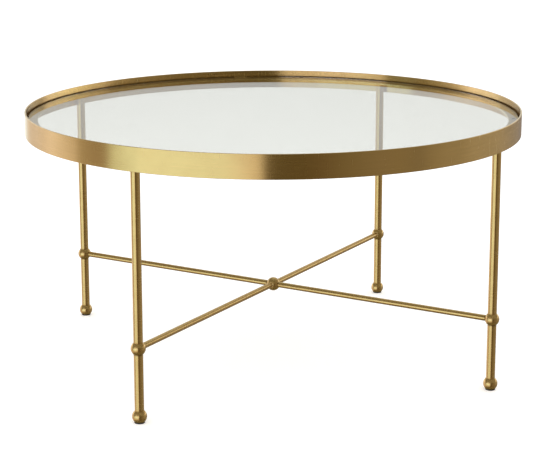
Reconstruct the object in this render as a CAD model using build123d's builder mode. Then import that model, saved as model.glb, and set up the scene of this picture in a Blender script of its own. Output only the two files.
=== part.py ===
from build123d import *
import os
from math import asin, degrees, sqrt

# A round coffee table. A tall brass band carries a lift-out glass top on an inner ledge, and stands on
# four ball-jointed legs that crossed rods brace. The origin is on the floor below the centre, the front
# faces -Y, and the sizes are in millimetres.

# The whole table
table_diameter = 914
table_height = 473
stretcher_height = 130
leg_bearings = {"front_right": -45, "back_right": 45, "back_left": 135, "front_left": 225}

# Band and the ledge welded inside it
band_height = 41.5
band_wall = 3
band_edge_radius = 0.6
ledge_width = 21
ledge_thickness = 3

# Glass, the seal round its edge and the pads that it rests on
glass_drop = 12.7  # from the band's top edge down to the glass
glass_thickness = 6
glass_arris = 0.8
glass_clearance = 0.6
seal_thickness = 2
seal_stand = 1.5  # how far the seal stands above the glass
seal_opening = 28  # left between the two ends of the seal
seal_opening_bearing = 84
bumper_diameter = 9.5
bumper_height = 1.5
bumper_count = 8

# Legs and balls
leg_diameter = 15.9
leg_wall = 1.5
leg_gap = 0.2  # between a leg and the inside of the band
ball_diameter = 25.4
seat_lip = 0.3  # flat left on a ball round the tube or rod that stands on it
plug_length = 20
stud_diameter = 8
stud_grip = 14
stud_web = 1.5  # metal left in a ball beyond the end of a hole

# Screws that hold the legs to the ledge
screw_diameter = 6
screw_head_diameter = 11
screw_head_depth = 2.4
screw_grip = 14
screw_socket = 4
screw_socket_depth = 1.8
screw_clearance = 0.2

# Feet
foot_flat_diameter = 18.5
glide_diameter = 18
glide_height = 2.5
glide_stem_diameter = 6

# Crossed rods
rod_diameter = 10.5
rod_stud_diameter = 5
rod_stud_grip = 8

# Heights and radii that follow
band_inner = table_diameter / 2 - band_wall
seal_inner = band_inner - seal_thickness
glass_radius = seal_inner - glass_clearance
ledge_inner = band_inner - ledge_width
bumper_circle = (ledge_inner + seal_inner) / 2
glass_top_height = table_height - glass_drop
glass_bottom_height = glass_top_height - glass_thickness
ledge_top = glass_bottom_height - bumper_height
ledge_bottom = ledge_top - ledge_thickness

leg_radius = leg_diameter / 2
leg_bore = leg_radius - leg_wall
leg_circle = band_inner - leg_gap - leg_radius
leg_count = len(leg_bearings)
first_bearing = min(leg_bearings.values())
stud_radius = stud_diameter / 2
screw_radius = screw_diameter / 2
rod_radius = rod_diameter / 2
rod_stud_radius = rod_stud_diameter / 2
glide_stem_radius = glide_stem_diameter / 2

# Distance from a ball's centre to the flat under a leg, under a rod, and on the foot
ball_radius = ball_diameter / 2
leg_seat = sqrt(ball_radius**2 - (leg_radius + seat_lip) ** 2)
rod_seat = sqrt(ball_radius**2 - (rod_radius + seat_lip) ** 2)
foot_seat = sqrt(ball_radius**2 - (foot_flat_diameter / 2) ** 2)
leg_seat_latitude = degrees(asin(leg_seat / ball_radius))
foot_seat_latitude = degrees(asin(foot_seat / ball_radius))
foot_centre = glide_height + foot_seat
foot_top = foot_centre + leg_seat
joint_bottom = stretcher_height - leg_seat
joint_top = stretcher_height + leg_seat

# Where the rods and their studs stop, measured from the table's axis
rod_start = rod_seat
rod_end = leg_circle - rod_seat
inner_stud_start = rod_stud_radius + stud_web
outer_stud_end = leg_circle - stud_radius - stud_web


def leg_plane(bearing, height):
    """A level plane at this height, centred on the leg at this bearing."""
    centre = Vector(leg_circle, 0, height).rotate(Axis.Z, bearing)
    outward = Vector(1, 0, 0).rotate(Axis.Z, bearing)
    return Plane(origin=centre, x_dir=outward, z_dir=(0, 0, 1))


def spoke_plane(bearing, reach):
    """An upright plane across a rod, this far from the table's axis and facing outwards."""
    centre = Vector(reach, 0, stretcher_height).rotate(Axis.Z, bearing)
    outward = Vector(1, 0, 0).rotate(Axis.Z, bearing)
    return Plane(origin=centre, x_dir=(0, 0, 1), z_dir=outward)


os.makedirs("parts", exist_ok=True)

# Band: a flat bar rolled into a ring on edge
with BuildPart() as rim_band:
    with BuildSketch(Plane.XY.offset(table_height - band_height)):
        Circle(table_diameter / 2)
        Circle(band_inner, mode=Mode.SUBTRACT)
    extrude(amount=band_height)
    fillet(rim_band.edges().filter_by(GeomType.CIRCLE), radius=band_edge_radius)
rim_band.part.label = "rim_band"
export_step(rim_band.part, "parts/rim_band.step")

# Ledge: a flat ring inside the band, countersunk over each leg
with BuildPart() as glass_ledge:
    with BuildSketch(Plane.XY.offset(ledge_bottom)):
        Circle(band_inner)
        Circle(ledge_inner, mode=Mode.SUBTRACT)
    extrude(amount=ledge_thickness)
    with Locations(Plane.XY.offset(ledge_top)):
        with PolarLocations(leg_circle, leg_count, start_angle=first_bearing):
            Hole(screw_radius + screw_clearance)
            with Locations((0, 0, -screw_head_depth)):
                Cone(screw_radius, screw_head_diameter / 2, screw_head_depth,
                     align=(Align.CENTER, Align.CENTER, Align.MIN), mode=Mode.SUBTRACT)
glass_ledge.part.label = "glass_ledge"
export_step(glass_ledge.part, "parts/glass_ledge.step")

# Seal: a dark strip between the glass and the band, open where its two ends meet
with BuildPart() as edge_seal:
    with BuildSketch(Plane.XY.offset(ledge_top)):
        Circle(band_inner)
        Circle(seal_inner, mode=Mode.SUBTRACT)
        with Locations(Location((0, 0), seal_opening_bearing)):
            Rectangle(band_inner, seal_opening, align=(Align.MIN, Align.CENTER), mode=Mode.SUBTRACT)
    extrude(amount=glass_top_height + seal_stand - ledge_top)
edge_seal.part.label = "edge_seal"
export_step(edge_seal.part, "parts/edge_seal.step")

# Pads that keep the glass off the ledge, between the legs' screws
with BuildPart() as ledge_bumpers:
    with BuildSketch(Plane.XY.offset(ledge_top)):
        with PolarLocations(bumper_circle, bumper_count, start_angle=180 / bumper_count):
            Circle(bumper_diameter / 2)
    extrude(amount=bumper_height)
ledge_bumpers.part.label = "ledge_bumpers"
export_step(ledge_bumpers.part, "parts/ledge_bumpers.step")

# Glass, with its sharp edges taken off
with BuildPart() as glass_top:
    with BuildSketch(Plane.XY.offset(glass_bottom_height)):
        Circle(glass_radius)
    extrude(amount=glass_thickness)
    chamfer(glass_top.edges().filter_by(GeomType.CIRCLE), length=glass_arris)
glass_top.part.label = "glass_top"
export_step(glass_top.part, "parts/glass_top.step")

# Each leg: an upper tube, a ball at the rods, a lower tube, a ball foot and its glide
for corner, bearing in leg_bearings.items():
    with BuildPart() as upper_leg:
        with BuildSketch(leg_plane(bearing, joint_top)):
            Circle(leg_radius)
            Circle(leg_bore, mode=Mode.SUBTRACT)
        extrude(amount=ledge_bottom - joint_top)
    upper_leg.part.label = f"upper_leg_{corner}"
    export_step(upper_leg.part, f"parts/upper_leg_{corner}.step")

    with BuildPart(leg_plane(bearing, stretcher_height)) as joint_ball:
        Sphere(ball_radius, arc_size1=-leg_seat_latitude, arc_size2=leg_seat_latitude, align=None)
        Hole(stud_radius)
        with BuildSketch(spoke_plane(bearing, rod_end)):
            Circle(ball_radius)
        extrude(amount=-ball_radius, mode=Mode.SUBTRACT)
        with BuildSketch(spoke_plane(bearing, rod_end)):
            Circle(rod_stud_radius)
        extrude(amount=outer_stud_end - rod_end, mode=Mode.SUBTRACT)
    joint_ball.part.label = f"joint_ball_{corner}"
    export_step(joint_ball.part, f"parts/joint_ball_{corner}.step")

    with BuildPart() as lower_leg:
        with BuildSketch(leg_plane(bearing, foot_top)):
            Circle(leg_radius)
            Circle(leg_bore, mode=Mode.SUBTRACT)
        extrude(amount=joint_bottom - foot_top)
    lower_leg.part.label = f"lower_leg_{corner}"
    export_step(lower_leg.part, f"parts/lower_leg_{corner}.step")

    with BuildPart(leg_plane(bearing, foot_centre)) as foot_ball:
        Sphere(ball_radius, arc_size1=-foot_seat_latitude, arc_size2=leg_seat_latitude, align=None)
        with BuildSketch(leg_plane(bearing, foot_top)):
            Circle(stud_radius)
        extrude(amount=stud_web - leg_seat, mode=Mode.SUBTRACT)
        with BuildSketch(leg_plane(bearing, glide_height)):
            Circle(glide_stem_radius)
        extrude(amount=foot_seat - stud_web, mode=Mode.SUBTRACT)
    foot_ball.part.label = f"foot_ball_{corner}"
    export_step(foot_ball.part, f"parts/foot_ball_{corner}.step")

    with BuildPart() as foot_glide:
        with BuildSketch(leg_plane(bearing, 0)):
            Circle(glide_diameter / 2)
        extrude(amount=glide_height)
        with BuildSketch(leg_plane(bearing, glide_height)):
            Circle(glide_stem_radius)
        extrude(amount=foot_seat - stud_web)
    foot_glide.part.label = f"foot_glide_{corner}"
    export_step(foot_glide.part, f"parts/foot_glide_{corner}.step")

    with BuildPart() as stretcher:
        with BuildSketch(spoke_plane(bearing, rod_start)):
            Circle(rod_radius)
        extrude(amount=rod_end - rod_start)
        with BuildSketch(spoke_plane(bearing, rod_start)):
            Circle(rod_stud_radius)
        extrude(amount=rod_stud_grip, mode=Mode.SUBTRACT)
        with BuildSketch(spoke_plane(bearing, rod_end)):
            Circle(rod_stud_radius)
        extrude(amount=-rod_stud_grip, mode=Mode.SUBTRACT)
    stretcher.part.label = f"stretcher_{corner}"
    export_step(stretcher.part, f"parts/stretcher_{corner}.step")

# Ball where the four rods meet
with BuildPart(Plane.XY.offset(stretcher_height)) as centre_ball:
    Sphere(ball_radius)
    for bearing in leg_bearings.values():
        with BuildSketch(spoke_plane(bearing, rod_start)):
            Circle(ball_radius)
        extrude(amount=ball_radius, mode=Mode.SUBTRACT)
    for bearing in leg_bearings.values():
        with BuildSketch(spoke_plane(bearing, rod_start)):
            Circle(rod_stud_radius)
        extrude(amount=inner_stud_start - rod_start, mode=Mode.SUBTRACT)
centre_ball.part.label = "centre_ball"
export_step(centre_ball.part, "parts/centre_ball.step")

# Countersunk screws through the ledge into the tops of the legs
with BuildPart(Plane.XY.offset(ledge_top)) as leg_screws:
    with PolarLocations(leg_circle, leg_count, start_angle=first_bearing):
        with Locations((0, 0, -screw_head_depth)):
            Cone(screw_radius, screw_head_diameter / 2, screw_head_depth,
                 align=(Align.CENTER, Align.CENTER, Align.MIN))
        Cylinder(screw_radius, ledge_thickness + screw_grip,
                 align=(Align.CENTER, Align.CENTER, Align.MAX))
    with BuildSketch(Plane.XY.offset(ledge_top)):
        with PolarLocations(leg_circle, leg_count, start_angle=first_bearing):
            RegularPolygon(screw_socket / 2, 6, major_radius=False)
    extrude(amount=-screw_socket_depth, mode=Mode.SUBTRACT)
leg_screws.part.label = "leg_screws"
export_step(leg_screws.part, "parts/leg_screws.step")

# Threaded plugs pressed into the ends of the tubes: name, lower face and thread radius
plug_rows = [
    ("upper_leg_top_plugs", ledge_bottom - plug_length, screw_radius),
    ("upper_leg_bottom_plugs", joint_top, stud_radius),
    ("lower_leg_top_plugs", joint_bottom - plug_length, stud_radius),
    ("lower_leg_bottom_plugs", foot_top, stud_radius),
]
for row_name, plug_bottom, thread_radius in plug_rows:
    with BuildPart() as plugs:
        with BuildSketch(Plane.XY.offset(plug_bottom)):
            with PolarLocations(leg_circle, leg_count, start_angle=first_bearing):
                Circle(leg_bore)
                Circle(thread_radius, mode=Mode.SUBTRACT)
        extrude(amount=plug_length)
    plugs.part.label = row_name
    export_step(plugs.part, f"parts/{row_name}.step")

# Studs that join the tubes to the balls: name, lower end and upper end
stud_rows = [
    ("joint_studs", joint_bottom - stud_grip, joint_top + stud_grip),
    ("foot_studs", foot_centre + stud_web, foot_top + stud_grip),
]
for row_name, stud_bottom, stud_top in stud_rows:
    with BuildPart() as studs:
        with BuildSketch(Plane.XY.offset(stud_bottom)):
            with PolarLocations(leg_circle, leg_count, start_angle=first_bearing):
                Circle(stud_radius)
        extrude(amount=stud_top - stud_bottom)
    studs.part.label = row_name
    export_step(studs.part, f"parts/{row_name}.step")

# Studs that join the rods to the balls: name, inner end and outer end
rod_stud_rows = [
    ("centre_rod_studs", inner_stud_start, rod_start + rod_stud_grip),
    ("leg_rod_studs", rod_end - rod_stud_grip, outer_stud_end),
]
for row_name, stud_start, stud_end in rod_stud_rows:
    with BuildPart() as rod_studs:
        for bearing in leg_bearings.values():
            with BuildSketch(spoke_plane(bearing, stud_start)):
                Circle(rod_stud_radius)
            extrude(amount=stud_end - stud_start)
    rod_studs.part.label = row_name
    export_step(rod_studs.part, f"parts/{row_name}.step")
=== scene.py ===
import math

import bmesh
import bpy
import numpy as np
from mathutils import Matrix, Vector


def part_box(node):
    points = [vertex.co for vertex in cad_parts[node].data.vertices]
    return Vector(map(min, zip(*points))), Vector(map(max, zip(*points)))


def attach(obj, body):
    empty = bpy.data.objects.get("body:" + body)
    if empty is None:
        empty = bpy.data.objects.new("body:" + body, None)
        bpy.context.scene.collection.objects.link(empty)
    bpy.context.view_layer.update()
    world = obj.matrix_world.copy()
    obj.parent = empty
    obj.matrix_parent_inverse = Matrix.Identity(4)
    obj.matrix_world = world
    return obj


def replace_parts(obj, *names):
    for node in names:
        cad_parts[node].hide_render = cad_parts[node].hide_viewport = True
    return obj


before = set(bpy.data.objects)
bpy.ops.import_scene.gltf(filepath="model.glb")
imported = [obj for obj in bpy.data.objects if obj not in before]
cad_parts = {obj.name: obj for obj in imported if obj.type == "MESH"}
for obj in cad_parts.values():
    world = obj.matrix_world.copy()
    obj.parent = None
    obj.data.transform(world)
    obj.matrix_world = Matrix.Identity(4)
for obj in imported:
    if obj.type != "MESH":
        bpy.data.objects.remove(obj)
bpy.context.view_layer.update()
scene = bpy.context.scene
corners = ("front_right", "back_right", "back_left", "front_left")
upright = Vector((0, 0, 1))
print("frame loaded,", len(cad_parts), "nodes")


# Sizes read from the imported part

def nodePoints(node):
    return np.array([v.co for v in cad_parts[node].data.vertices], float)


def nodeMiddle(node):
    low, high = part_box(node)
    return (low + high) / 2


def reach(node):
    radii = np.hypot(*nodePoints(node)[:, :2].T)
    return float(radii.min()), float(radii.max())


def legAxis(corner):
    middle = nodeMiddle("upper_leg_" + corner)
    return Vector((middle.x, middle.y, 0))


ballCentre = {c: Vector((legAxis(c).x, legAxis(c).y, nodeMiddle("centre_ball").z)) for c in corners}


# Node helpers

def addNode(tree, kind, inputs=None, **settings):
    node = tree.nodes.new(kind)
    for key, value in settings.items():
        setattr(node, key, value)
    for key, value in (inputs or {}).items():
        if isinstance(value, bpy.types.NodeSocket):
            tree.links.new(value, node.inputs[key])
        else:
            node.inputs[key].default_value = value
    return node


def mathNode(tree, operation, first, second, clamp=False):
    return addNode(tree, "ShaderNodeMath", {0: first, 1: second}, operation=operation, use_clamp=clamp).outputs[0]


def remap(tree, value, low, high, newLow, newHigh, smooth=False):
    inputs = {"Value": value, "From Min": low, "From Max": high, "To Min": newLow, "To Max": newHigh}
    kind = "SMOOTHSTEP" if smooth else "LINEAR"
    return addNode(tree, "ShaderNodeMapRange", inputs, interpolation_type=kind).outputs["Result"]


def blendColour(tree, share, first, second, mode="MIX"):
    node = addNode(tree, "ShaderNodeMix", data_type="RGBA", blend_type=mode)
    for index, value in ((0, share), (6, first), (7, second)):
        if isinstance(value, bpy.types.NodeSocket):
            tree.links.new(value, node.inputs[index])
        else:
            node.inputs[index].default_value = value
    return node.outputs[2]


def noiseOn(tree, coords, stretch, detail=2.0, roughness=0.55, offset=(0, 0, 0)):
    moved = addNode(tree, "ShaderNodeMapping", {"Vector": coords, "Location": offset, "Scale": stretch})
    inputs = {"Vector": moved.outputs[0], "Scale": 1.0, "Detail": detail, "Roughness": roughness}
    return addNode(tree, "ShaderNodeTexNoise", inputs).outputs[0]


def newMaterial(name):
    material = bpy.data.materials.new(name)
    material.use_nodes = True
    tree = material.node_tree
    shader = next(n for n in tree.nodes if n.type == "BSDF_PRINCIPLED")
    return material, tree, shader


# Mesh helpers

def addObject(name, mesh, material):
    mesh.name = name
    piece = bpy.data.objects.new(name, mesh)
    scene.collection.objects.link(piece)
    mesh.materials.clear()
    mesh.materials.append(material)
    return piece


def axisBasis(axis):
    up = Vector(axis).normalized()
    side = upright if abs(up.z) < 0.9 else Vector((1, 0, 0))
    side = (side - up * side.dot(up)).normalized()
    return Matrix((side, up.cross(side), up)).transposed()


def finishMesh(mesh, centre, axis, rub=None, seamShade=None):
    # outward faces, sharp corners, a map that runs round the axis, and the grain's own coordinates
    shell = bmesh.new()
    shell.from_mesh(mesh)
    bmesh.ops.remove_doubles(shell, verts=shell.verts, dist=1e-6)
    bmesh.ops.recalc_face_normals(shell, faces=shell.faces)
    shell.to_mesh(mesh)
    shell.free()
    mesh.shade_smooth()
    mesh.set_sharp_from_angle(angle=math.radians(30))
    basis = np.array(axisBasis(axis), float)
    points = np.zeros(len(mesh.vertices) * 3)
    mesh.vertices.foreach_get("co", points)
    local = (points.reshape(-1, 3) - np.array(centre, float)) @ basis
    radii, turn = np.hypot(local[:, 0], local[:, 1]), np.arctan2(local[:, 1], local[:, 0])
    layer = mesh.uv_layers.get("wrap") or mesh.uv_layers.new(name="wrap")
    up = basis[:, 2]
    uv = np.zeros((len(mesh.loops), 2))
    for face in mesh.polygons:
        middle = (np.array(face.center) - np.array(centre, float)) @ basis
        faceTurn = math.atan2(middle[1], middle[0])
        flat = abs(float(np.dot(np.array(face.normal), up))) > 0.7
        for loop in face.loop_indices:
            v = mesh.loops[loop].vertex_index
            step = (turn[v] - faceTurn + math.pi) % (2 * math.pi) - math.pi if radii[v] > 1e-6 else 0.0
            uv[loop] = ((faceTurn + step) / (2 * math.pi), radii[v] if flat else local[v, 2])
    layer.data.foreach_set("uv", uv.ravel())
    grain = mesh.attributes.new("grain", "FLOAT_VECTOR", "POINT")
    grain.data.foreach_set("vector", local.ravel())
    # rub marks worn edges; the other mask is painted shade where one part meets another
    for label, rule in (("rub", rub), ("seamShade", seamShade)):
        values = np.zeros(len(radii)) if rule is None else np.clip(rule(radii, local[:, 2]), 0, 1)
        mesh.attributes.new(label, "FLOAT", "POINT").data.foreach_set("value", values.astype(np.float32))
    return mesh


def nearTo(places, width):
    # 1 at these distances along the axis, falling to 0 over the width
    return lambda radii, along: np.max([1 - np.abs(along - p) / width for p in places], axis=0)


def turned(name, profile, around, centre, axis, ring=False):
    # a lathe shape: profile is (radius, distance along the axis), closed at the poles or, as a ring, on itself
    shell = bmesh.new()
    basis = axisBasis(axis)
    turns = [2 * math.pi * k / around for k in range(around)]
    rows = []
    for radius, along in profile:
        if radius < 1e-7:
            rows.append([shell.verts.new(Vector(centre) + basis @ Vector((0, 0, along)))])
            continue
        places = [Vector((radius * math.cos(t), radius * math.sin(t), along)) for t in turns]
        rows.append([shell.verts.new(Vector(centre) + basis @ place) for place in places])
    pairs = list(zip(rows, rows[1:] + rows[:1] if ring else rows[1:]))
    for low, high in pairs:
        for k in range(around):
            n = (k + 1) % around
            if len(low) == 1:
                shell.faces.new((low[0], high[k], high[n]))
            elif len(high) == 1:
                shell.faces.new((low[k], low[n], high[0]))
            else:
                shell.faces.new((low[k], low[n], high[n], high[k]))
    mesh = bpy.data.meshes.new(name)
    shell.to_mesh(mesh)
    shell.free()
    return mesh


def arcPoints(radius, fromAngle, toAngle, steps, centre=(0, 0)):
    return [(centre[0] + radius * math.cos(a), centre[1] + radius * math.sin(a))
            for a in np.linspace(fromAngle, toAngle, steps + 1)]


def easedEdge(radius, ease, along=0):
    # a small rounded edge between an end face and the side
    return [(radius - ease, along), (radius - ease * 0.3, along + ease * 0.3), (radius, along + ease)]


def bakeGeometry(holder):
    # the evaluated result as one plain mesh, and the holder removed
    bpy.context.view_layer.update()
    shown = bpy.context.evaluated_depsgraph_get()
    mesh = bpy.data.meshes.new_from_object(holder.evaluated_get(shown))
    holder.modifiers.clear()
    bpy.data.objects.remove(holder)
    return mesh


def runTree(tree, values):
    holder = bpy.data.objects.new("holder", bpy.data.meshes.new("holder"))
    scene.collection.objects.link(holder)
    modifier = holder.modifiers.new(tree.name, "NODES")
    modifier.node_group = tree
    for item in tree.interface.items_tree:
        if item.item_type == "SOCKET" and item.in_out == "INPUT":
            modifier[item.identifier] = values[item.name]
    return bakeGeometry(holder)


def startTree(name, sockets):
    tree = bpy.data.node_groups.new(name, "GeometryNodeTree")
    tree.interface.new_socket("Geometry", in_out="OUTPUT", socket_type="NodeSocketGeometry")
    for label, kind in sockets:
        tree.interface.new_socket(label, in_out="INPUT", socket_type="NodeSocket" + kind)
    given = tree.nodes.new("NodeGroupInput").outputs
    return tree, given


def endTree(tree, geometry, material):
    real = addNode(tree, "GeometryNodeRealizeInstances", {"Geometry": geometry})
    painted = addNode(tree, "GeometryNodeSetMaterial", {"Geometry": real.outputs[0], "Material": material})
    tree.links.new(painted.outputs[0], tree.nodes.new("NodeGroupOutput").inputs[0])


def outline(name, points):
    # a closed flat curve for a sweep: x runs outwards and y downwards
    curve = bpy.data.curves.new(name, "CURVE")
    curve.dimensions = "2D"
    spline = curve.splines.new("POLY")
    spline.points.add(len(points) - 1)
    for point, (x, z) in zip(spline.points, points):
        point.co = (x, -z, 0, 1)
    spline.use_cyclic_u = True
    holder = bpy.data.objects.new(name, curve)
    scene.collection.objects.link(holder)
    return holder


def softBox(low, high, corner, hold, steps=5):
    # a rectangle in (radius, height) with round corners, and extra points that keep its long faces flat
    (x0, z0), (x1, z1) = low, high
    points = []
    for cx, cz, start, before, after in (
            (x1 - corner, z0 + corner, -90, (-hold, 0), (0, hold)),
            (x1 - corner, z1 - corner, 0, (0, -hold), (-hold, 0)),
            (x0 + corner, z1 - corner, 90, (hold, 0), (0, -hold)),
            (x0 + corner, z0 + corner, 180, (0, hold), (hold, 0))):
        arc = arcPoints(corner, math.radians(start), math.radians(start + 90), steps, (cx, cz))
        points.append((arc[0][0] + before[0], arc[0][1] + before[1]))
        points += arc
        points.append((arc[-1][0] + after[0], arc[-1][1] + after[1]))
    return points


# Brass: one satin metal, brushed round each turned or rolled piece

brassFinish = {
    "colour": (0.80, 0.585, 0.262, 1),
    "tarnish": (0.66, 0.43, 0.16, 1),
    # a dark brown painted where parts meet, as shade
    "seamShadeColour": (0.16, 0.10, 0.045, 1),
    "rubColour": (0.93, 0.77, 0.46, 1),
    "scuffs": 0.5,
}


def brassMaterial(name, roughness, anisotropy, lines, lineDepth, cloud):
    material, tree, shader = newMaterial(name)
    coords = addNode(tree, "ShaderNodeAttribute", attribute_name="grain").outputs["Vector"]
    fine = noiseOn(tree, coords, (lines * 0.02, lines * 0.02, lines), 3, 0.65)
    broad = noiseOn(tree, coords, (lines * 0.004, lines * 0.004, lines * 0.16), 3, 0.6, (3.1, 1.7, 0.4))
    brushing = mathNode(tree, "ADD", mathNode(tree, "MULTIPLY", fine, 0.55), mathNode(tree, "MULTIPLY", broad, 0.45))
    patches = noiseOn(tree, coords, (cloud, cloud, cloud * 2.2), 4, 0.6, (7, 2, 5))
    smudge = noiseOn(tree, coords, (cloud * 3, cloud * 3, cloud * 3.5), 5, 0.65, (1, 9, 4))
    scratch = noiseOn(tree, coords, (lines * 0.35, lines * 0.35, lines * 0.012), 1, 0.5, (4, 4, 8))
    scratched = remap(tree, scratch, 0.70, 0.76, 0.0, brassFinish["scuffs"], True)
    rub = addNode(tree, "ShaderNodeAttribute", attribute_name="rub").outputs["Fac"]
    # painted shade where parts meet: this mask darkens the colour below and roughens the brass
    seamShade = addNode(tree, "ShaderNodeAttribute", attribute_name="seamShade").outputs["Fac"]
    rubbed = mathNode(tree, "MULTIPLY", rub, remap(tree, smudge, 0.35, 0.6, 0.35, 1.0))
    seamShaded = mathNode(tree, "MULTIPLY", seamShade, remap(tree, smudge, 0.3, 0.65, 0.65, 1.0))
    dull = remap(tree, patches, 0.42, 0.72, 0.0, 0.30, True)
    colour = blendColour(tree, dull, brassFinish["colour"], brassFinish["tarnish"])
    streak = remap(tree, brushing, 0.3, 0.7, 0.91, 1.07)
    grey = addNode(tree, "ShaderNodeCombineColor", {"Red": streak, "Green": streak, "Blue": streak}).outputs[0]
    colour = blendColour(tree, 1.0, colour, grey, "MULTIPLY")
    colour = blendColour(tree, rubbed, colour, brassFinish["rubColour"])
    colour = blendColour(tree, mathNode(tree, "MULTIPLY", seamShaded, 0.85), colour, brassFinish["seamShadeColour"])
    rough = mathNode(tree, "ADD", remap(tree, brushing, 0.25, 0.75, roughness - 0.045, roughness + 0.045),
                  remap(tree, smudge, 0.4, 0.7, -0.01, 0.04))
    rough = mathNode(tree, "ADD", rough, mathNode(tree, "MULTIPLY", scratched, 0.08))
    rough = mathNode(tree, "SUBTRACT", rough, mathNode(tree, "MULTIPLY", rubbed, 0.07))
    rough = mathNode(tree, "ADD", rough, mathNode(tree, "MULTIPLY", seamShaded, 0.15), clamp=True)
    height = mathNode(tree, "SUBTRACT", brushing, mathNode(tree, "MULTIPLY", scratched, 0.6))
    bump = addNode(tree, "ShaderNodeBump", {"Strength": lineDepth, "Distance": 0.00002, "Height": height})
    tangent = addNode(tree, "ShaderNodeTangent", direction_type="UV_MAP", uv_map="wrap")
    tree.links.new(colour, shader.inputs["Base Color"])
    tree.links.new(rough, shader.inputs["Roughness"])
    tree.links.new(bump.outputs[0], shader.inputs["Normal"])
    tree.links.new(tangent.outputs[0], shader.inputs["Tangent"])
    shader.inputs["Metallic"].default_value = 1.0
    shader.inputs["Anisotropic"].default_value = anisotropy
    shader.inputs["Anisotropic Rotation"].default_value = 0.25
    return material


bandBrass = brassMaterial("satinBandBrass", roughness=0.235, anisotropy=0.94, lines=2600, lineDepth=0.2, cloud=3.2)
tubeBrass = brassMaterial("satinTubeBrass", roughness=0.235, anisotropy=0.94, lines=2200, lineDepth=0.12, cloud=9.0)
rodBrass = brassMaterial("satinRodBrass", roughness=0.24, anisotropy=0.9, lines=2200, lineDepth=0.12, cloud=9.0)
ballBrass = brassMaterial("turnedBallBrass", roughness=0.26, anisotropy=0.5, lines=3000, lineDepth=0.12, cloud=45.0)
ledgeBrass = brassMaterial("flatLedgeBrass", roughness=0.30, anisotropy=0.4, lines=1800, lineDepth=0.3, cloud=6.0)


# Glass, rubber, pads and steel

def glassMaterial():
    material, tree, shader = newMaterial("clearGlass")
    coords = addNode(tree, "ShaderNodeTexCoord").outputs["Object"]
    wipe = noiseOn(tree, coords, (9, 2.5, 4), 4, 0.6)
    dust = noiseOn(tree, coords, (260, 260, 260), 2, 0.5, (5, 1, 0))
    wiped = remap(tree, wipe, 0.5, 0.8, 0.0, 0.02, True)
    dusty = remap(tree, dust, 0.7, 0.8, 0.0, 0.02, True)
    film = mathNode(tree, "ADD", wiped, dusty)
    tint = remap(tree, wipe, 0.3, 0.7, 0.0, 1.0)
    colour = blendColour(tree, tint, (0.845, 0.875, 0.835, 1), (0.865, 0.89, 0.85, 1))
    wave = noiseOn(tree, coords, (3.5, 3.5, 3.5), 1, 0.5, (2, 2, 2))
    bump = addNode(tree, "ShaderNodeBump", {"Strength": 0.05, "Distance": 0.0002, "Height": wave})
    tree.links.new(colour, shader.inputs["Base Color"])
    tree.links.new(film, shader.inputs["Roughness"])
    tree.links.new(bump.outputs[0], shader.inputs["Normal"])
    shader.inputs["Transmission Weight"].default_value = 1.0
    shader.inputs["IOR"].default_value = 1.52
    return material


def plainMaterial(name, dark, light, roughness, speck, depth, metal=0.0, clear=0.0, stretch=(1, 1, 1)):
    material, tree, shader = newMaterial(name)
    coords = addNode(tree, "ShaderNodeAttribute", attribute_name="grain").outputs["Vector"]
    fine = noiseOn(tree, coords, tuple(speck * s for s in stretch), 3, 0.6)
    broad = noiseOn(tree, coords, tuple(speck * 0.07 * s for s in stretch), 3, 0.6, (2, 5, 1))
    mixed = mathNode(tree, "ADD", mathNode(tree, "MULTIPLY", fine, 0.5), mathNode(tree, "MULTIPLY", broad, 0.5))
    share = remap(tree, mixed, 0.35, 0.65, 0.0, 1.0)
    bump = addNode(tree, "ShaderNodeBump", {"Strength": depth, "Distance": 0.0001, "Height": fine})
    tree.links.new(blendColour(tree, share, dark, light), shader.inputs["Base Color"])
    tree.links.new(remap(tree, fine, 0.3, 0.7, roughness - 0.06, roughness + 0.06), shader.inputs["Roughness"])
    tree.links.new(bump.outputs[0], shader.inputs["Normal"])
    shader.inputs["Metallic"].default_value = metal
    shader.inputs["Transmission Weight"].default_value = clear
    return material


clearGlass = glassMaterial()
# painted shadow: the seal's dark brown and low shine stand in for the shadow in the gap between glass and band
gapShadeRubber = plainMaterial("gapShadeRubber", (0.055, 0.026, 0.002, 1), (0.085, 0.042, 0.005, 1),
                           roughness=0.8, speck=1400, depth=0.3)
gapShadeRubberShader = next(n for n in gapShadeRubber.node_tree.nodes if n.type == "BSDF_PRINCIPLED")
gapShadeRubberShader.inputs["Specular IOR Level"].default_value = 0.05
padGel = plainMaterial("padGel", (0.86, 0.88, 0.87, 1), (0.95, 0.96, 0.95, 1),
                       roughness=0.22, speck=900, depth=0.2, clear=0.9)
glideNylon = plainMaterial("glideNylon", (0.008, 0.008, 0.008, 1), (0.02, 0.019, 0.018, 1),
                           roughness=0.5, speck=1800, depth=0.4)
zincSteel = plainMaterial("zincSteel", (0.42, 0.42, 0.41, 1), (0.62, 0.61, 0.59, 1),
                          roughness=0.32, speck=1500, depth=0.3, metal=1.0, stretch=(0.05, 0.05, 1))
screwSteel = plainMaterial("screwSteel", (0.50, 0.49, 0.47, 1), (0.70, 0.69, 0.66, 1),
                           roughness=0.28, speck=1700, depth=0.3, metal=1.0)
print("materials made")


# Rim band: a bar rolled into a ring, swept round the table by one tree

band = {"around": 384, "edgeRadius": 0.0006, "hold": 0.0022 / 6, "edgeSteps": 5, "rubWidth": 0.0009}
bandLow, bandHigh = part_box("rim_band")
bandInner, bandOuter = reach("rim_band")


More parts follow.
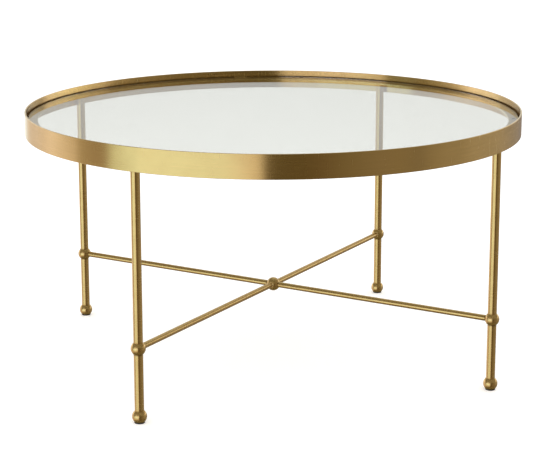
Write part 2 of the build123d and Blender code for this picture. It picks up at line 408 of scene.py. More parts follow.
def sweepTree():
    tree, given = startTree("sweepRound", (("Outline", "Object"), ("Around", "Int"), ("Radius", "Float"),
                                           ("Start", "Float"), ("Sweep", "Float"), ("Whole Ring", "Bool"),
                                           ("Height", "Float"), ("Finish", "Material")))
    profile = addNode(tree, "GeometryNodeObjectInfo", {"Object": given["Outline"]}).outputs["Geometry"]
    size = {"Resolution": given["Around"], "Radius": given["Radius"]}
    whole = addNode(tree, "GeometryNodeCurvePrimitiveCircle", size)
    part = addNode(tree, "GeometryNodeCurveArc", {**size, "Start Angle": given["Start"], "Sweep Angle": given["Sweep"]})
    path = addNode(tree, "GeometryNodeSwitch", {"Switch": given["Whole Ring"], "False": part.outputs["Curve"],
                                                "True": whole.outputs["Curve"]}, input_type="GEOMETRY")
    swept = addNode(tree, "GeometryNodeCurveToMesh", {"Curve": path.outputs[0], "Profile Curve": profile,
                                                      "Fill Caps": True})
    lift = addNode(tree, "ShaderNodeCombineXYZ", {"Z": given["Height"]})
    moved = addNode(tree, "GeometryNodeTransform", {"Geometry": swept.outputs[0], "Translation": lift.outputs[0]})
    endTree(tree, moved.outputs[0], given["Finish"])
    return tree


sweepRound = sweepTree()


def sweptRing(name, points, around, material, height, start=0.0, sweep=2 * math.pi):
    middle = sum(p[0] for p in points) / len(points)
    shape = outline(name + "Outline", [(x - middle, z) for x, z in points])
    mesh = runTree(sweepRound, {"Outline": shape, "Around": around, "Radius": middle, "Start": start, "Sweep": sweep,
                                "Whole Ring": sweep >= 2 * math.pi, "Height": height, "Finish": material})
    bpy.data.objects.remove(shape)
    return mesh


bandHeight = bandHigh.z - bandLow.z
bandShape = softBox((bandInner, -bandHeight / 2), (bandOuter, bandHeight / 2), band["edgeRadius"], band["hold"],
                    band["edgeSteps"])
bandMiddle = (bandLow.z + bandHigh.z) / 2
rimMesh = sweptRing("rimBand", bandShape, band["around"], bandBrass, bandMiddle)
finishMesh(rimMesh, (0, 0, bandMiddle), upright, rub=nearTo((-bandHeight / 2, bandHeight / 2), band["rubWidth"]))
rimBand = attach(addObject("rimBand", rimMesh, bandBrass), "frame")
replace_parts(rimBand, "rim_band")
print("rim band swept")


# Ledge: a flat ring with a countersunk hole over each leg

ledge = {"around": 256, "edgeRadius": 0.0004, "hold": 0.0004, "edgeSteps": 3, "rubWidth": 0.0008}
ledgeLow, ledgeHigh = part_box("glass_ledge")
ledgeInner, ledgeOuter = reach("glass_ledge")
screw = {"count": 4, "firstBearing": math.radians(-45), "shank": 0.003, "head": 0.0055, "headDepth": 0.0024,
         "socket": 0.004, "socketDepth": 0.0018, "clearance": 0.0002, "pitch": 0.001, "threadDepth": 0.00055,
         "around": 48, "topEase": 0.0002, "overlap": 0.0003, "sinkClearance": 0.0001, "bitMargin": 0.001}
legCircle = float(np.mean([legAxis(c).length for c in corners]))
screwLow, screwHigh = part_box("leg_screws")

ledgeMiddle = (ledgeLow.z + ledgeHigh.z) / 2
ledgeHalf = (ledgeHigh.z - ledgeLow.z) / 2
ledgeShape = softBox((ledgeInner, -ledgeHalf), (ledgeOuter, ledgeHalf), ledge["edgeRadius"], ledge["hold"],
                     ledge["edgeSteps"])


def drillTree():
    # cuts one countersink at each leg
    tree, given = startTree("drillRound", (("Piece", "Object"), ("Cutter", "Object"), ("Count", "Int"),
                                           ("Radius", "Float"), ("First Bearing", "Float"), ("Finish", "Material")))
    piece = addNode(tree, "GeometryNodeObjectInfo", {"Object": given["Piece"]}).outputs["Geometry"]
    cutter = addNode(tree, "GeometryNodeObjectInfo", {"Object": given["Cutter"]}).outputs["Geometry"]
    spots = addNode(tree, "GeometryNodeMeshCircle", {"Vertices": given["Count"], "Radius": given["Radius"]})
    turn = addNode(tree, "ShaderNodeCombineXYZ", {"Z": given["First Bearing"]})
    placed = addNode(tree, "GeometryNodeTransform", {"Geometry": spots.outputs[0], "Rotation": turn.outputs[0]})
    copies = addNode(tree, "GeometryNodeInstanceOnPoints", {"Points": placed.outputs[0], "Instance": cutter})
    solid = addNode(tree, "GeometryNodeRealizeInstances", {"Geometry": copies.outputs[0]})
    cut = addNode(tree, "GeometryNodeMeshBoolean", operation="DIFFERENCE", solver="EXACT")
    tree.links.new(piece, cut.inputs["Mesh 1"])
    tree.links.new(solid.outputs[0], cut.inputs["Mesh 2"])
    endTree(tree, cut.outputs[0], given["Finish"])
    return tree


def holderOf(name, mesh):
    holder = bpy.data.objects.new(name, mesh)
    scene.collection.objects.link(holder)
    return holder


def seatHolder(name, profile, around, centre=(0, 0, 0), axis=upright):
    mesh = turned(name, profile, around, centre, axis)
    shell = bmesh.new()
    shell.from_mesh(mesh)
    bmesh.ops.recalc_face_normals(shell, faces=shell.faces)
    shell.to_mesh(mesh)
    shell.free()
    return holderOf(name, mesh)


ledgeBlank = sweptRing("glassLedge", ledgeShape, ledge["around"], ledgeBrass, ledgeMiddle)
holeWide = screw["shank"] + screw["clearance"]
sinkBottom = ledgeHigh.z - screw["headDepth"]
sinkWide = screw["head"] + screw["sinkClearance"]
bitLow, bitHigh = ledgeLow.z - screw["bitMargin"], ledgeHigh.z + screw["bitMargin"]
drillBit = seatHolder("drillBit", [(0, bitLow), (holeWide, bitLow), (holeWide, sinkBottom), (sinkWide, ledgeHigh.z),
                                   (sinkWide, bitHigh), (0, bitHigh)], 32)
ledgeHolder = holderOf("ledgeBlank", ledgeBlank)
ledgeMesh = runTree(drillTree(), {"Piece": ledgeHolder, "Cutter": drillBit, "Count": screw["count"],
                                  "Radius": legCircle, "First Bearing": screw["firstBearing"], "Finish": ledgeBrass})
for holder in (ledgeHolder, drillBit):
    bpy.data.objects.remove(holder)
finishMesh(ledgeMesh, (0, 0, ledgeMiddle), upright,
           rub=lambda radii, along: 1 - np.abs(radii - ledgeInner) / ledge["rubWidth"])
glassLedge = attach(addObject("glassLedge", ledgeMesh, ledgeBrass), "frame")
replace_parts(glassLedge, "glass_ledge")
print("ledge drilled")


# What repeats round the table: pads and screws

def repeatTree():
    tree, given = startTree("repeatRound", (("Pattern", "Object"), ("Count", "Int"), ("Radius", "Float"),
                                            ("First Bearing", "Float"), ("Height", "Float"), ("Finish", "Material")))
    pattern = addNode(tree, "GeometryNodeObjectInfo", {"Object": given["Pattern"]}).outputs["Geometry"]
    spots = addNode(tree, "GeometryNodeMeshCircle", {"Vertices": given["Count"], "Radius": given["Radius"]})
    turn = addNode(tree, "ShaderNodeCombineXYZ", {"Z": given["First Bearing"]})
    lift = addNode(tree, "ShaderNodeCombineXYZ", {"Z": given["Height"]})
    placed = addNode(tree, "GeometryNodeTransform", {"Geometry": spots.outputs[0], "Rotation": turn.outputs[0],
                                                     "Translation": lift.outputs[0]})
    outward = addNode(tree, "FunctionNodeAlignRotationToVector", {
        "Vector": addNode(tree, "GeometryNodeInputPosition").outputs[0]}, axis="X", pivot_axis="Z")
    copies = addNode(tree, "GeometryNodeInstanceOnPoints", {"Points": placed.outputs[0], "Instance": pattern,
                                                            "Rotation": outward.outputs[0]})
    endTree(tree, copies.outputs[0], given["Finish"])
    return tree


repeatRound = repeatTree()


def repeated(patternMesh, count, radius, firstBearing, height, material):
    pattern = holderOf("pattern", patternMesh)
    mesh = runTree(repeatRound, {"Pattern": pattern, "Count": count, "Radius": radius, "First Bearing": firstBearing,
                                 "Height": height, "Finish": material})
    bpy.data.objects.remove(pattern)
    return mesh


bumper = {"count": 8, "firstBearing": math.radians(22.5), "radius": 0.00475, "crown": 0.0009, "ease": 0.0002}
bumperLow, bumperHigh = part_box("ledge_bumpers")
bumperHeight = bumperHigh.z - bumperLow.z
bumperCircle = reach("ledge_bumpers")[1] - bumper["radius"]
crown, padRadius, padEase = bumper["crown"], bumper["radius"], bumper["ease"]
bumperShape = [(0, 0), (padRadius - padEase, 0), (padRadius, padEase), (padRadius, bumperHeight - crown)]
bumperShape += arcPoints(crown, 0, math.pi / 2, 5, (padRadius - crown, bumperHeight - crown))[1:]
bumperShape.append((0, bumperHeight))
bumperMesh = repeated(turned("pad", bumperShape, 32, (0, 0, 0), upright), bumper["count"], bumperCircle,
                      bumper["firstBearing"], bumperLow.z, padGel)
finishMesh(bumperMesh, (0, 0, 0), upright)
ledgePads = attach(addObject("ledgePads", bumperMesh, padGel), "frame")
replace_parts(ledgePads, "ledge_bumpers")


threadMargin = 0.0012  # plain length left at each end of a thread


def threadTree():
    # a core with a thread wound round it, standing on the origin
    tree, given = startTree("threadedRod", (("Core", "Float"), ("Crest", "Float"), ("Pitch", "Float"),
                                            ("Length", "Float"), ("Margin", "Float"), ("Finish", "Material")))
    half = mathNode(tree, "MULTIPLY", given["Length"], 0.5)
    middle = addNode(tree, "ShaderNodeCombineXYZ", {"Z": half})
    core = addNode(tree, "GeometryNodeMeshCylinder", {"Vertices": 32, "Radius": given["Core"],
                                                      "Depth": given["Length"]})
    coreUp = addNode(tree, "GeometryNodeTransform", {"Geometry": core.outputs["Mesh"],
                                                     "Translation": middle.outputs[0]})
    run = mathNode(tree, "SUBTRACT", given["Length"], mathNode(tree, "MULTIPLY", given["Margin"], 2.0))
    turns = mathNode(tree, "DIVIDE", run, given["Pitch"])
    mean = mathNode(tree, "MULTIPLY", mathNode(tree, "ADD", given["Core"], given["Crest"]), 0.5)
    helix = addNode(tree, "GeometryNodeCurveSpiral", {"Resolution": 20, "Rotations": turns, "Start Radius": mean,
                                                      "End Radius": mean, "Height": run})
    upMargin = addNode(tree, "ShaderNodeCombineXYZ", {"Z": given["Margin"]})
    helixUp = addNode(tree, "GeometryNodeTransform", {"Geometry": helix.outputs[0], "Translation": upMargin.outputs[0]})
    depth = mathNode(tree, "SUBTRACT", given["Crest"], mean)
    wire = addNode(tree, "GeometryNodeCurvePrimitiveCircle", {"Resolution": 6, "Radius": depth})
    wound = addNode(tree, "GeometryNodeCurveToMesh", {"Curve": helixUp.outputs[0],
                                                      "Profile Curve": wire.outputs["Curve"], "Fill Caps": True})
    both = addNode(tree, "GeometryNodeJoinGeometry")
    tree.links.new(coreUp.outputs[0], both.inputs[0])
    tree.links.new(wound.outputs[0], both.inputs[0])
    endTree(tree, both.outputs[0], given["Finish"])
    return tree


threadedRod = threadTree()


def threadedMesh(crest, depth, pitch, length, material):
    return runTree(threadedRod, {"Core": crest - depth, "Crest": crest, "Pitch": pitch, "Length": length,
                                 "Margin": threadMargin, "Finish": material})


def joinMeshes(name, meshes):
    shell = bmesh.new()
    for mesh in meshes:
        shell.from_mesh(mesh)
    whole = bpy.data.meshes.new(name)
    shell.to_mesh(whole)
    shell.free()
    return whole


def hexSocketHead():
    # countersunk head with a hexagon socket, its top at height 0
    wide, ease, around = screw["head"], screw["topEase"], screw["around"]
    turns = [2 * math.pi * k / around for k in range(around)]
    socket = [screw["socket"] / 2 / math.cos((t + math.pi / 6) % (math.pi / 3) - math.pi / 6) for t in turns]
    shell = bmesh.new()

    def row(radii, height):
        return [shell.verts.new((r * math.cos(t), r * math.sin(t), height)) for r, t in zip(radii, turns)]

    rows = [row(socket, -screw["socketDepth"]), row(socket, 0), row([wide - ease] * around, 0),
            row([wide] * around, -ease), row([screw["shank"] - screw["threadDepth"]] * around, -screw["headDepth"])]
    for low, high in zip(rows, rows[1:]):
        for k in range(around):
            n = (k + 1) % around
            shell.faces.new((low[k], low[n], high[n], high[k]))
    shell.faces.new(rows[0])
    shell.faces.new(rows[-1])
    bmesh.ops.recalc_face_normals(shell, faces=shell.faces)
    mesh = bpy.data.meshes.new("screwHead")
    shell.to_mesh(mesh)
    shell.free()
    return mesh


screwLength = screwHigh.z - screwLow.z
shankLength = screwLength - screw["headDepth"] + screw["overlap"]
shankMesh = threadedMesh(screw["shank"], screw["threadDepth"], screw["pitch"], shankLength, screwSteel)
shankMesh.transform(Matrix.Translation((0, 0, -screwLength)))
screwMesh = repeated(joinMeshes("screw", [hexSocketHead(), shankMesh]), screw["count"], legCircle,
                     screw["firstBearing"], screwHigh.z, screwSteel)
finishMesh(screwMesh, (0, 0, 0), upright)
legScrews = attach(addObject("legScrews", screwMesh, screwSteel), "frame")
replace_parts(legScrews, "leg_screws")
print("pads and screws set out")


# Edge seal: a rubber strip round the glass, open where its ends meet; its dark brown is painted shadow for the gap
# between glass and band

seal = {"around": 360, "opening": 0.028, "openingBearing": math.radians(84), "corner": 0.0006, "hold": 0.0002,
        "edgeSteps": 4}
sealLow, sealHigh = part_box("edge_seal")
sealInner, sealOuter = reach("edge_seal")
gap = seal["opening"] / sealInner
sealMiddle = (sealLow.z + sealHigh.z) / 2
sealHalf = (sealHigh.z - sealLow.z) / 2
sealShape = softBox((sealInner, -sealHalf), (sealOuter, sealHalf), seal["corner"], seal["hold"],
                    seal["edgeSteps"])
sealMesh = sweptRing("edgeSeal", sealShape, seal["around"], gapShadeRubber, sealMiddle,
                     seal["openingBearing"] + gap / 2, 2 * math.pi - gap)
finishMesh(sealMesh, (0, 0, sealMiddle), upright)
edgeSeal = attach(addObject("edgeSeal", sealMesh, gapShadeRubber), "frame")
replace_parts(edgeSeal, "edge_seal")


# Glass top: a ground and polished disc

glass = {"around": 320, "arris": 0.0008}
glassLow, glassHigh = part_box("glass_top")
glassRadius, arris = glassHigh.x, glass["arris"]
glassThick = glassHigh.z - glassLow.z
glassShape = [(0, 0), (glassRadius - arris, 0), (glassRadius, arris), (glassRadius, glassThick - arris),
              (glassRadius - arris, glassThick), (0, glassThick)]
glassMesh = turned("glassTop", glassShape, glass["around"], (0, 0, glassLow.z), upright)
finishMesh(glassMesh, (0, 0, glassLow.z), upright)
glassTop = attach(addObject("glassTop", glassMesh, clearGlass), "glass")
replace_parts(glassTop, "glass_top")
print("seal and glass laid in")


# Legs: drawn tubes with eased ends

leg = {"around": 72, "wall": 0.0015, "ease": 0.0004, "hold": 0.003, "seamShadeReach": 0.0028}


def legTube(corner, part):
    node = f"{part}_leg_{corner}"
    low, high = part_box(node)
    radius, length = (high.x - low.x) / 2, high.z - low.z
    shape = [(radius - leg["wall"], 0)] + easedEdge(radius, leg["ease"]) + [(radius, leg["hold"])]
    shape += [(r, length - z) for r, z in reversed(shape)]
    axis = legAxis(corner)
    base = (axis.x, axis.y, low.z)
    mesh = turned(node, shape, leg["around"], base, upright, ring=True)
    # painted shade: a dark ring at the top of the lower tube, under the joint ball
    seamShade = nearTo((length,), leg["seamShadeReach"]) if part == "lower" else None
    finishMesh(mesh, base, upright, seamShade=seamShade)
    name = f"{part}Leg_{corner}"
    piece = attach(addObject(name, mesh, tubeBrass), "frame")
    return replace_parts(piece, node)


for corner in corners:
    legTube(corner, "upper")
    legTube(corner, "lower")
print("legs turned")


# Balls: turned from bar, flat where a tube or a rod stands on them

ball = {"around": 64, "steps": 20, "studHole": 0.004, "rodStudHole": 0.0025, "stemHole": 0.003, "web": 0.0015,
        "seamShadeReach": 0.0012, "rodSeatWide": 0.00555, "legSeatWide": 0.00825, "footFlat": 0.00925,
        "hubSteps": 28, "poleShare": 0.999, "cutterAround": 40, "cutterReach": 1.3}
ballRadius = (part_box("centre_ball")[1].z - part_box("centre_ball")[0].z) / 2
legSeat = math.sqrt(ballRadius ** 2 - ball["legSeatWide"] ** 2)
rodSeat = math.sqrt(ballRadius ** 2 - ball["rodSeatWide"] ** 2)
footFlat = math.sqrt(ballRadius ** 2 - ball["footFlat"] ** 2)


def rodSocket(centre, direction, depth):
    # cuts the flat that a rod stands on and the hole for its stud
    far, hole = ballRadius * ball["cutterReach"], ball["rodStudHole"]
    shape = [(0, depth), (hole, depth), (hole, rodSeat), (far, rodSeat), (far, far), (0, far)]
    return seatHolder("rodSocket", shape, ball["cutterAround"], centre, direction)


def cutTree():
    tree, given = startTree("cutSeats", (("Piece", "Object"), ("Cutter", "Object"), ("Finish", "Material")))
    piece = addNode(tree, "GeometryNodeObjectInfo", {"Object": given["Piece"]}).outputs["Geometry"]
    cutter = addNode(tree, "GeometryNodeObjectInfo", {"Object": given["Cutter"]}).outputs["Geometry"]
    cut = addNode(tree, "GeometryNodeMeshBoolean", operation="DIFFERENCE", solver="EXACT")
    tree.links.new(piece, cut.inputs["Mesh 1"])
    tree.links.new(cutter, cut.inputs["Mesh 2"])
    endTree(tree, cut.outputs[0], given["Finish"])
    return tree


cutSeats = cutTree()


def seated(blank, sockets):
    for centre, direction, depth in sockets:
        piece, cutter = holderOf("blank", blank), rodSocket(centre, direction, depth)
        blank = runTree(cutSeats, {"Piece": piece, "Cutter": cutter, "Finish": ballBrass})
        for holder in (piece, cutter):
            bpy.data.objects.remove(holder)
    return blank


def sphereArc(fromHeight, toHeight, steps):
    return arcPoints(ballRadius, math.asin(fromHeight / ballRadius), math.asin(toHeight / ballRadius), steps)


def seatShade(height):
    # painted shade: a dark ring on the underside of a ball, where the part below meets it
    def rule(radii, along):
        return 1 - np.abs(along + height) / ball["seamShadeReach"]
    return rule


def addBall(name, node, mesh, centre, seamShade):
    finishMesh(mesh, centre, upright, seamShade=seamShade)
    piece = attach(addObject(name, mesh, ballBrass), "frame")
    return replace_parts(piece, node)


for corner in corners:
    centre = ballCentre[corner]
    hole = ball["studHole"]
    shape = [(hole, -legSeat)] + sphereArc(-legSeat, legSeat, ball["steps"]) + [(hole, legSeat)]
    blank = turned("jointBall", shape, ball["around"], centre, upright, ring=True)
    inward = Vector((-centre.x, -centre.y, 0)).normalized()
    blank = seated(blank, [(centre, inward, hole + ball["web"])])
    addBall("jointBall_" + corner, "joint_ball_" + corner, blank, centre, seatShade(legSeat))

    footCentre = Vector((centre.x, centre.y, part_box("foot_ball_" + corner)[0].z + footFlat))
    shape = [(0, ball["web"]), (hole, ball["web"]), (hole, legSeat)]
    shape += list(reversed(sphereArc(-footFlat, legSeat, ball["steps"])))
    shape += [(ball["stemHole"], -footFlat), (ball["stemHole"], -ball["web"]), (0, -ball["web"])]
    footMesh = turned("footBall", shape, ball["around"], footCentre, upright)
    addBall("footBall_" + corner, "foot_ball_" + corner, footMesh, footCentre, seatShade(footFlat))

hub = Vector((0, 0, nodeMiddle("centre_ball").z))
nearPole = ballRadius * ball["poleShare"]
shape = [(0, -ballRadius)] + sphereArc(-nearPole, nearPole, ball["hubSteps"]) + [(0, ballRadius)]
hubBlank = turned("centreBall", shape, ball["around"], hub, upright)
rodWays = {c: legAxis(c).normalized() for c in corners}
hubMesh = seated(hubBlank, [(hub, rodWays[c], ball["rodStudHole"] + ball["web"]) for c in corners])
addBall("centreBall", "centre_ball", hubMesh, hub, None)
print("balls turned and seated")


# Glides under the feet

glide = {"around": 48, "radius": 0.009, "height": 0.0025, "stem": 0.003, "ease": 0.0005, "topEase": 0.0002}
for corner in corners:
    low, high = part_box("foot_glide_" + corner)
    base = Vector((legAxis(corner).x, legAxis(corner).y, low.z))
    wide, top, tall, topEase = glide["radius"], glide["height"], high.z - low.z, glide["topEase"]
    shape = [(0, 0)] + easedEdge(wide, glide["ease"]) + [(wide, top - topEase), (wide - topEase, top)]
    shape += [(glide["stem"], top), (glide["stem"], tall), (0, tall)]
    mesh = finishMesh(turned("footGlide", shape, glide["around"], base, upright), base, upright)
    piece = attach(addObject("footGlide_" + corner, mesh, glideNylon), "frame")
    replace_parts(piece, "foot_glide_" + corner)


# Crossed rods, each from the centre ball to a leg's ball

rod = {"around": 64, "radius": 0.00525, "ease": 0.0003, "hold": 0.0025, "bore": 0.0025, "boreDepth": 0.008,
       "seamShadeReach": 0.0022}
rodStart, rodEnd = rodSeat, legCircle - rodSeat
for corner in corners:
    way = rodWays[corner]
    shape = [(0, rodStart + rod["boreDepth"]), (rod["bore"], rodStart + rod["boreDepth"]), (rod["bore"], rodStart)]
    shape += easedEdge(rod["radius"], rod["ease"], rodStart) + [(rod["radius"], rodStart + rod["hold"])]
    shape += [(r, rodStart + rodEnd - z) for r, z in reversed(shape)]
    mesh = turned("stretcher", shape, rod["around"], hub, way)
    # painted shade: dark rings at both ends of the rod, where it meets the balls
    finishMesh(mesh, hub, way, seamShade=nearTo((rodStart, rodEnd), rod["seamShadeReach"]))
    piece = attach(addObject("crossRod_" + corner, mesh, rodBrass), "frame")
    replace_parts(piece, "stretcher_" + corner)
print("rods fitted")


# Studs and plugs inside: threaded studs in rows, and plain plugs as they come

stud = {"crest": 0.004, "depth": 0.0006, "pitch": 0.00125, "rodCrest": 0.0025, "rodDepth": 0.0004, "rodPitch": 0.0008,
        "rowReach": 0.004}
for name, node in (("jointStuds", "joint_studs"), ("footStuds", "foot_studs")):
    low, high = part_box(node)
    one = threadedMesh(stud["crest"], stud["depth"], stud["pitch"], high.z - low.z, zincSteel)
    mesh = repeated(one, screw["count"], legCircle, screw["firstBearing"], low.z, zincSteel)
    finishMesh(mesh, (0, 0, 0), upright)
    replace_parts(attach(addObject(name, mesh, zincSteel), "frame"), node)
for name, node in (("centreRodStuds", "centre_rod_studs"), ("legRodStuds", "leg_rod_studs")):
    way = np.array(rodWays["front_right"])
    cloud = nodePoints(node)
    mine = cloud[(cloud @ way > 0) & (np.abs(cloud @ np.array((-way[1], way[0], 0))) < stud["rowReach"])]
    start, end = float((mine @ way).min()), float((mine @ way).max())
    one = threadedMesh(stud["rodCrest"], stud["rodDepth"], stud["rodPitch"], end - start, zincSteel)
    one.transform(Matrix.Rotation(math.pi / 2, 4, "Y"))
    mesh = repeated(one, screw["count"], start, screw["firstBearing"], hub.z, zincSteel)
    finishMesh(mesh, (0, 0, 0), upright)
    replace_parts(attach(addObject(name, mesh, zincSteel), "frame"), node)
for node in ("upper_leg_top_plugs", "upper_leg_bottom_plugs", "lower_leg_top_plugs", "lower_leg_bottom_plugs"):
    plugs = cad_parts[node]
    plugs.data.materials.clear()
    plugs.data.materials.append(zincSteel)
print("studs wound, plugs finished")


# Stage: a pale floor, a white room, and coloured walls that only the brass and the glass find

studio = {
    "white": 1.12,
    "floorGlow": 0.25,
    "radius": 8.0,
    # angle to the right of the camera's side, then red, green and blue light
    "lowWalls": [(-180, 0.90, 0.92, 0.86), (-165, 1.12, 1.22, 1.28), (-157, 1.09, 1.19, 1.25), (-149, 0.81, 0.74, 0.67),
                 (-141, 0.74, 0.64, 0.58), (-133, 0.77, 0.70, 0.70), (-124, 0.81, 0.72, 0.71), (-116, 1.00, 0.92, 0.96),
                 (-108, 0.94, 0.86, 0.88), (-99, 0.80, 0.72, 0.70), (-96, 0.76, 0.68, 0.66), (-94.5, 0.44, 0.38, 0.29),
                 (-90, 0.40, 0.34, 0.26), (-82, 0.35, 0.28, 0.21), (-77, 0.36, 0.30, 0.23), (-74, 1.06, 1.30, 1.25),
                 (-66, 1.21, 1.51, 1.51), (-48, 1.17, 1.47, 1.45), (-30, 1.14, 1.46, 1.43), (-22, 1.11, 1.38, 1.37),
                 (-13, 1.10, 1.18, 1.18), (-9, 1.06, 1.03, 0.99), (-4.8, 1.02, 0.95, 0.87), (-3.6, 0.11, 0.085, 0.04),
                 (13, 0.115, 0.085, 0.038), (21, 0.16, 0.115, 0.065), (30, 0.22, 0.18, 0.11), (48, 0.28, 0.23, 0.17),
                 (56, 0.28, 0.23, 0.155), (66, 0.24, 0.20, 0.15), (72, 0.32, 0.27, 0.20), (82, 0.37, 0.32, 0.25),
                 (99, 0.35, 0.31, 0.25), (124, 0.32, 0.28, 0.24), (141, 0.28, 0.25, 0.22), (157, 0.27, 0.24, 0.23),
                 (165, 0.35, 0.33, 0.33), (173, 0.59, 0.59, 0.59), (180, 0.81, 0.83, 0.77)],
    "highWalls": [(-180, 0.66, 0.66, 0.64), (-160, 0.66, 0.65, 0.63), (-148, 0.95, 0.94, 0.96),
                  (-140, 1.56, 1.56, 1.62), (-132, 1.71, 1.66, 1.86), (-116, 1.68, 1.60, 1.77),
                  (-108, 0.85, 0.78, 0.72), (-100, 0.48, 0.44, 0.39), (-92, 0.45, 0.39, 0.28),
                  (-84, 0.26, 0.23, 0.16), (-61, 0.24, 0.21, 0.12), (-59, 1.24, 1.11, 1.08), (-48, 1.23, 1.16, 1.21),
                  (-34, 1.35, 1.21, 1.32), (-19, 1.19, 1.06, 1.06), (-4.6, 1.12, 1.03, 1.03), (-3.6, 0.1, 0.08, 0.035),
                  (10, 0.08, 0.062, 0.02), (30, 0.13, 0.1, 0.05), (41, 0.14, 0.115, 0.06), (48, 0.17, 0.13, 0.06),
                  (60, 0.26, 0.22, 0.15), (84, 0.28, 0.24, 0.17), (90, 0.34, 0.29, 0.23), (96, 0.92, 0.83, 0.76),
                  (104, 1.11, 1.04, 0.97), (116, 1.42, 1.35, 1.13), (126, 1.65, 1.58, 1.48), (136, 1.47, 1.44, 1.42),
                  (142, 1.54, 1.43, 1.42), (150, 0.55, 0.53, 0.50),
                  (160, 0.64, 0.63, 0.61), (180, 0.66, 0.66, 0.64)],
    # the same from further down, where the lower legs look
    "deepWalls": [(-180, 0.80, 0.76, 0.64), (-149, 0.76, 0.62, 0.54), (-133, 0.70, 0.58, 0.52), (-116, 0.80, 0.68, 0.60),
                  (-99, 0.72, 0.60, 0.50), (-94.5, 0.60, 0.50, 0.40), (-74, 0.66, 0.54, 0.42), (-66, 0.78, 0.66, 0.54),
                  (-48, 0.80, 0.70, 0.58), (-30, 0.78, 0.68, 0.56), (-13, 0.70, 0.58, 0.46), (-4.8, 0.60, 0.48, 0.34),
                  (-3.6, 0.12, 0.085, 0.04), (21, 0.16, 0.11, 0.06), (48, 0.24, 0.19, 0.13), (66, 0.22, 0.18, 0.13),
                  (99, 0.30, 0.26, 0.19), (150, 0.26, 0.22, 0.18), (173, 0.60, 0.56, 0.48), (180, 0.80, 0.76, 0.64)],
    "deep": (15, 20),
    # and overhead, where the rods and the tops of the balls look
    "skyWalls": [(-180, 0.66, 0.65, 0.62), (-165, 0.60, 0.58, 0.52), (-150, 0.32, 0.28, 0.20), (-100, 0.27, 0.24, 0.17),
                 (0, 0.27, 0.24, 0.17), (115, 0.28, 0.24, 0.18), (125, 0.34, 0.29, 0.23), (135, 0.50, 0.45, 0.38),
                 (150, 0.72, 0.66, 0.60), (168, 0.70, 0.66, 0.60), (180, 0.66, 0.65, 0.62)],
    "blend": (-4, 6),
    "skyStart": ((0, 150, 166, 180), (11, 11, 18, 18)),
    "ground": (37, 47),
    "bottom": (0.18, 0.15, 0.08),
    "skyFade": 6,
    "middle": 0.4,
    "floorRings": (0.3, 40),
    # the middle of the floor as the brass sees it, darker: painted shade under the table
    "underTableShade": (0.3, 0.26, 0.2),
}
cameraView = {"azimuth": -14.91, "elevation": 11.556, "distance": 2.9223, "lens": 101.846,
              "target": (0.00493, -0.00113, 0.3706), "shift": -0.12}

world = bpy.data.worlds.new("whiteRoom")
world.use_nodes = True
scene.world = world
room = next(n for n in world.node_tree.nodes if n.type == "BACKGROUND")
room.inputs["Color"].default_value = (1, 1, 1, 1)
room.inputs["Strength"].default_value = studio["white"]


def stageMesh(name, points, faces, material):
    mesh = bpy.data.meshes.new(name)
    mesh.from_pydata(points, [], faces)
    piece = addObject(name, mesh, material)
    return piece


def wallShade(table, side):
    return np.array([np.interp(side, [w[0] for w in table], [w[c] for w in table]) for c in (1, 2, 3)])


towardsCamera = math.radians(cameraView["azimuth"] - 90)
sides = np.arange(-180, 181, 1.0)


def addGlow(piece, colours):
    glow = piece.data.attributes.new("glow", "FLOAT_COLOR", "POINT")
    glow.data.foreach_set("color", np.array(colours, np.float32).ravel())


floorPaint, floorTree, floorShader = newMaterial("paleFloor")
floorCoords = addNode(floorTree, "ShaderNodeTexCoord").outputs["Object"]
floorGrain = noiseOn(floorTree, floorCoords, (1.2, 1.2, 1.2), 3, 0.5)
floorTree.links.new(blendColour(floorTree, floorGrain, (0.93, 0.93, 0.93, 1), (0.94, 0.94, 0.94, 1)),
                    floorShader.inputs["Base Color"])
floorShader.inputs["Roughness"].default_value = 0.9
floorShader.inputs["Emission Color"].default_value = (1, 1, 1, 1)
floorShader.inputs["Emission Strength"].default_value = studio["floorGlow"]
floorGlow = addNode(floorTree, "ShaderNodeAttribute", attribute_name="glow").outputs["Color"]
floorLamp = addNode(floorTree, "ShaderNodeEmission", {"Color": floorGlow, "Strength": 1.0})
# after a bounce off the brass the floor shows the high walls' light instead of its own
mirrored = addNode(floorTree, "ShaderNodeLightPath").outputs["Glossy Depth"]
floorMix = addNode(floorTree, "ShaderNodeMixShader", {0: mathNode(floorTree, "MINIMUM", mirrored, 1.0),
                                                      1: floorShader.outputs[0], 2: floorLamp.outputs[0]})
floorOut = next(n for n in floorTree.nodes if n.type == "OUTPUT_MATERIAL")
floorTree.links.new(floorMix.outputs[0], floorOut.inputs["Surface"])
floorPoints, floorColours, floorFaces = [], [], []
for k, side in enumerate(sides):
    bearing = towardsCamera + math.radians(side)
    for r in studio["floorRings"]:
        floorPoints.append((r * math.cos(bearing), r * math.sin(bearing), 0))
        floorColours.append(list(wallShade(studio["highWalls"], side)) + [1.0])
    if k:
        floorFaces.append((2 * k - 2, 2 * k - 1, 2 * k + 1, 2 * k))
floorPoints.append((0, 0, 0))
# painted shade: the floor's middle glows a darker brown in reflections, under the table
floorColours.append([*studio["underTableShade"], 1.0])
floorFaces += [(2 * k - 2, 2 * k, len(floorPoints) - 1) for k in range(1, len(sides))]
floor = stageMesh("floor", floorPoints, floorFaces, floorPaint)
addGlow(floor, floorColours)
floor.visible_glossy = False

roomPaint = bpy.data.materials.new("roomGlow")
roomPaint.use_nodes = True
roomTree = roomPaint.node_tree
roomTree.nodes.clear()
glow = addNode(roomTree, "ShaderNodeAttribute", attribute_name="glow").outputs["Color"]
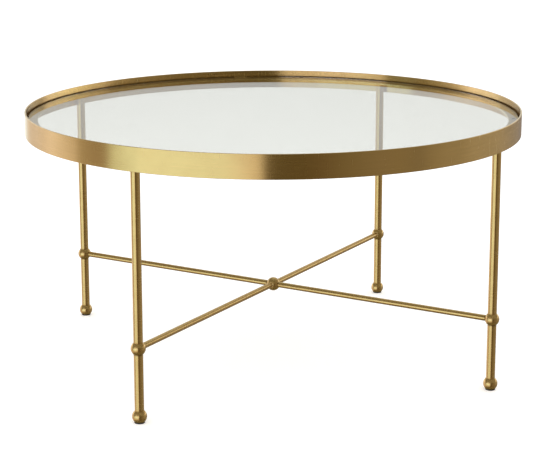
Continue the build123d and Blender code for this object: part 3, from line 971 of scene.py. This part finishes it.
# light that has met a matt surface finds the room plain white, so the walls don't colour the floor
matt = mathNode(roomTree, "MINIMUM", addNode(roomTree, "ShaderNodeLightPath").outputs["Diffuse Depth"], 1.0)
plain = (studio["white"], studio["white"], studio["white"], 1)
lamp = addNode(roomTree, "ShaderNodeEmission", {"Color": blendColour(roomTree, matt, glow, plain), "Strength": 1.0})
roomTree.links.new(lamp.outputs[0], addNode(roomTree, "ShaderNodeOutputMaterial").inputs["Surface"])

# the room is a globe round the table, shaded by the side and the height of its soft lights and dark cards
heights = [-90, -70, -47, -37, -28, -19, -14, -9, -4, 1, 6, 11, 14, 17, 20, 24, 34, 50, 70, 90]
points, colours, faces = [], [], []
for k, side in enumerate(sides):
    bearing = towardsCamera + math.radians(side)
    low, high, deep, sky = (wallShade(studio[part + "Walls"], side) for part in ("low", "high", "deep", "sky"))
    skyStart = float(np.interp(abs(side), *studio["skyStart"]))
    for j, h in enumerate(heights):
        lift = math.radians(h)
        wall = low + (high - low) * float(np.interp(h, studio["blend"], (0, 1)))
        wall = wall + (deep - wall) * float(np.interp(-h, studio["deep"], (0, 1)))
        wall = wall + (sky - wall) * float(np.interp(h, (skyStart, skyStart + studio["skyFade"]), (0, 1)))
        shade = wall + (np.array(studio["bottom"]) - wall) * float(np.interp(-h, studio["ground"], (0, 1)))
        across, rise = studio["radius"] * math.cos(lift), studio["radius"] * math.sin(lift)
        points.append((across * math.cos(bearing), across * math.sin(bearing), rise + studio["middle"]))
        colours.append(list(shade) + [1.0])
        if k and j:
            n, m = (k - 1) * len(heights) + j, k * len(heights) + j
            faces.append((n - 1, m - 1, m, n))
mirrorRoom = stageMesh("mirrorRoom", points, faces, roomPaint)
addGlow(mirrorRoom, colours)
mirrorRoom.visible_camera = mirrorRoom.visible_diffuse = False
mirrorRoom.visible_volume_scatter = mirrorRoom.visible_shadow = False
world.cycles_visibility.glossy = False


# Camera

camera = bpy.data.objects.new("camera", bpy.data.cameras.new("camera"))
scene.collection.objects.link(camera)
scene.camera = camera
camera.data.lens = cameraView["lens"]
camera.data.sensor_width = 36
camera.data.shift_y = cameraView["shift"]
camera.data.dof.use_dof = False
camera.data.clip_start, camera.data.clip_end = 0.05, 200
turn, tip = math.radians(cameraView["azimuth"]), math.radians(cameraView["elevation"])
back = Vector((math.sin(turn) * math.cos(tip), -math.cos(turn) * math.cos(tip), math.sin(tip)))
camera.location = Vector(cameraView["target"]) + back * cameraView["distance"]
camera.rotation_mode = "QUATERNION"
camera.rotation_quaternion = (-back).to_track_quat("-Z", "Y")
scene.view_settings.view_transform = "Standard"
scene.view_settings.look = "None"
print("stage and camera set")
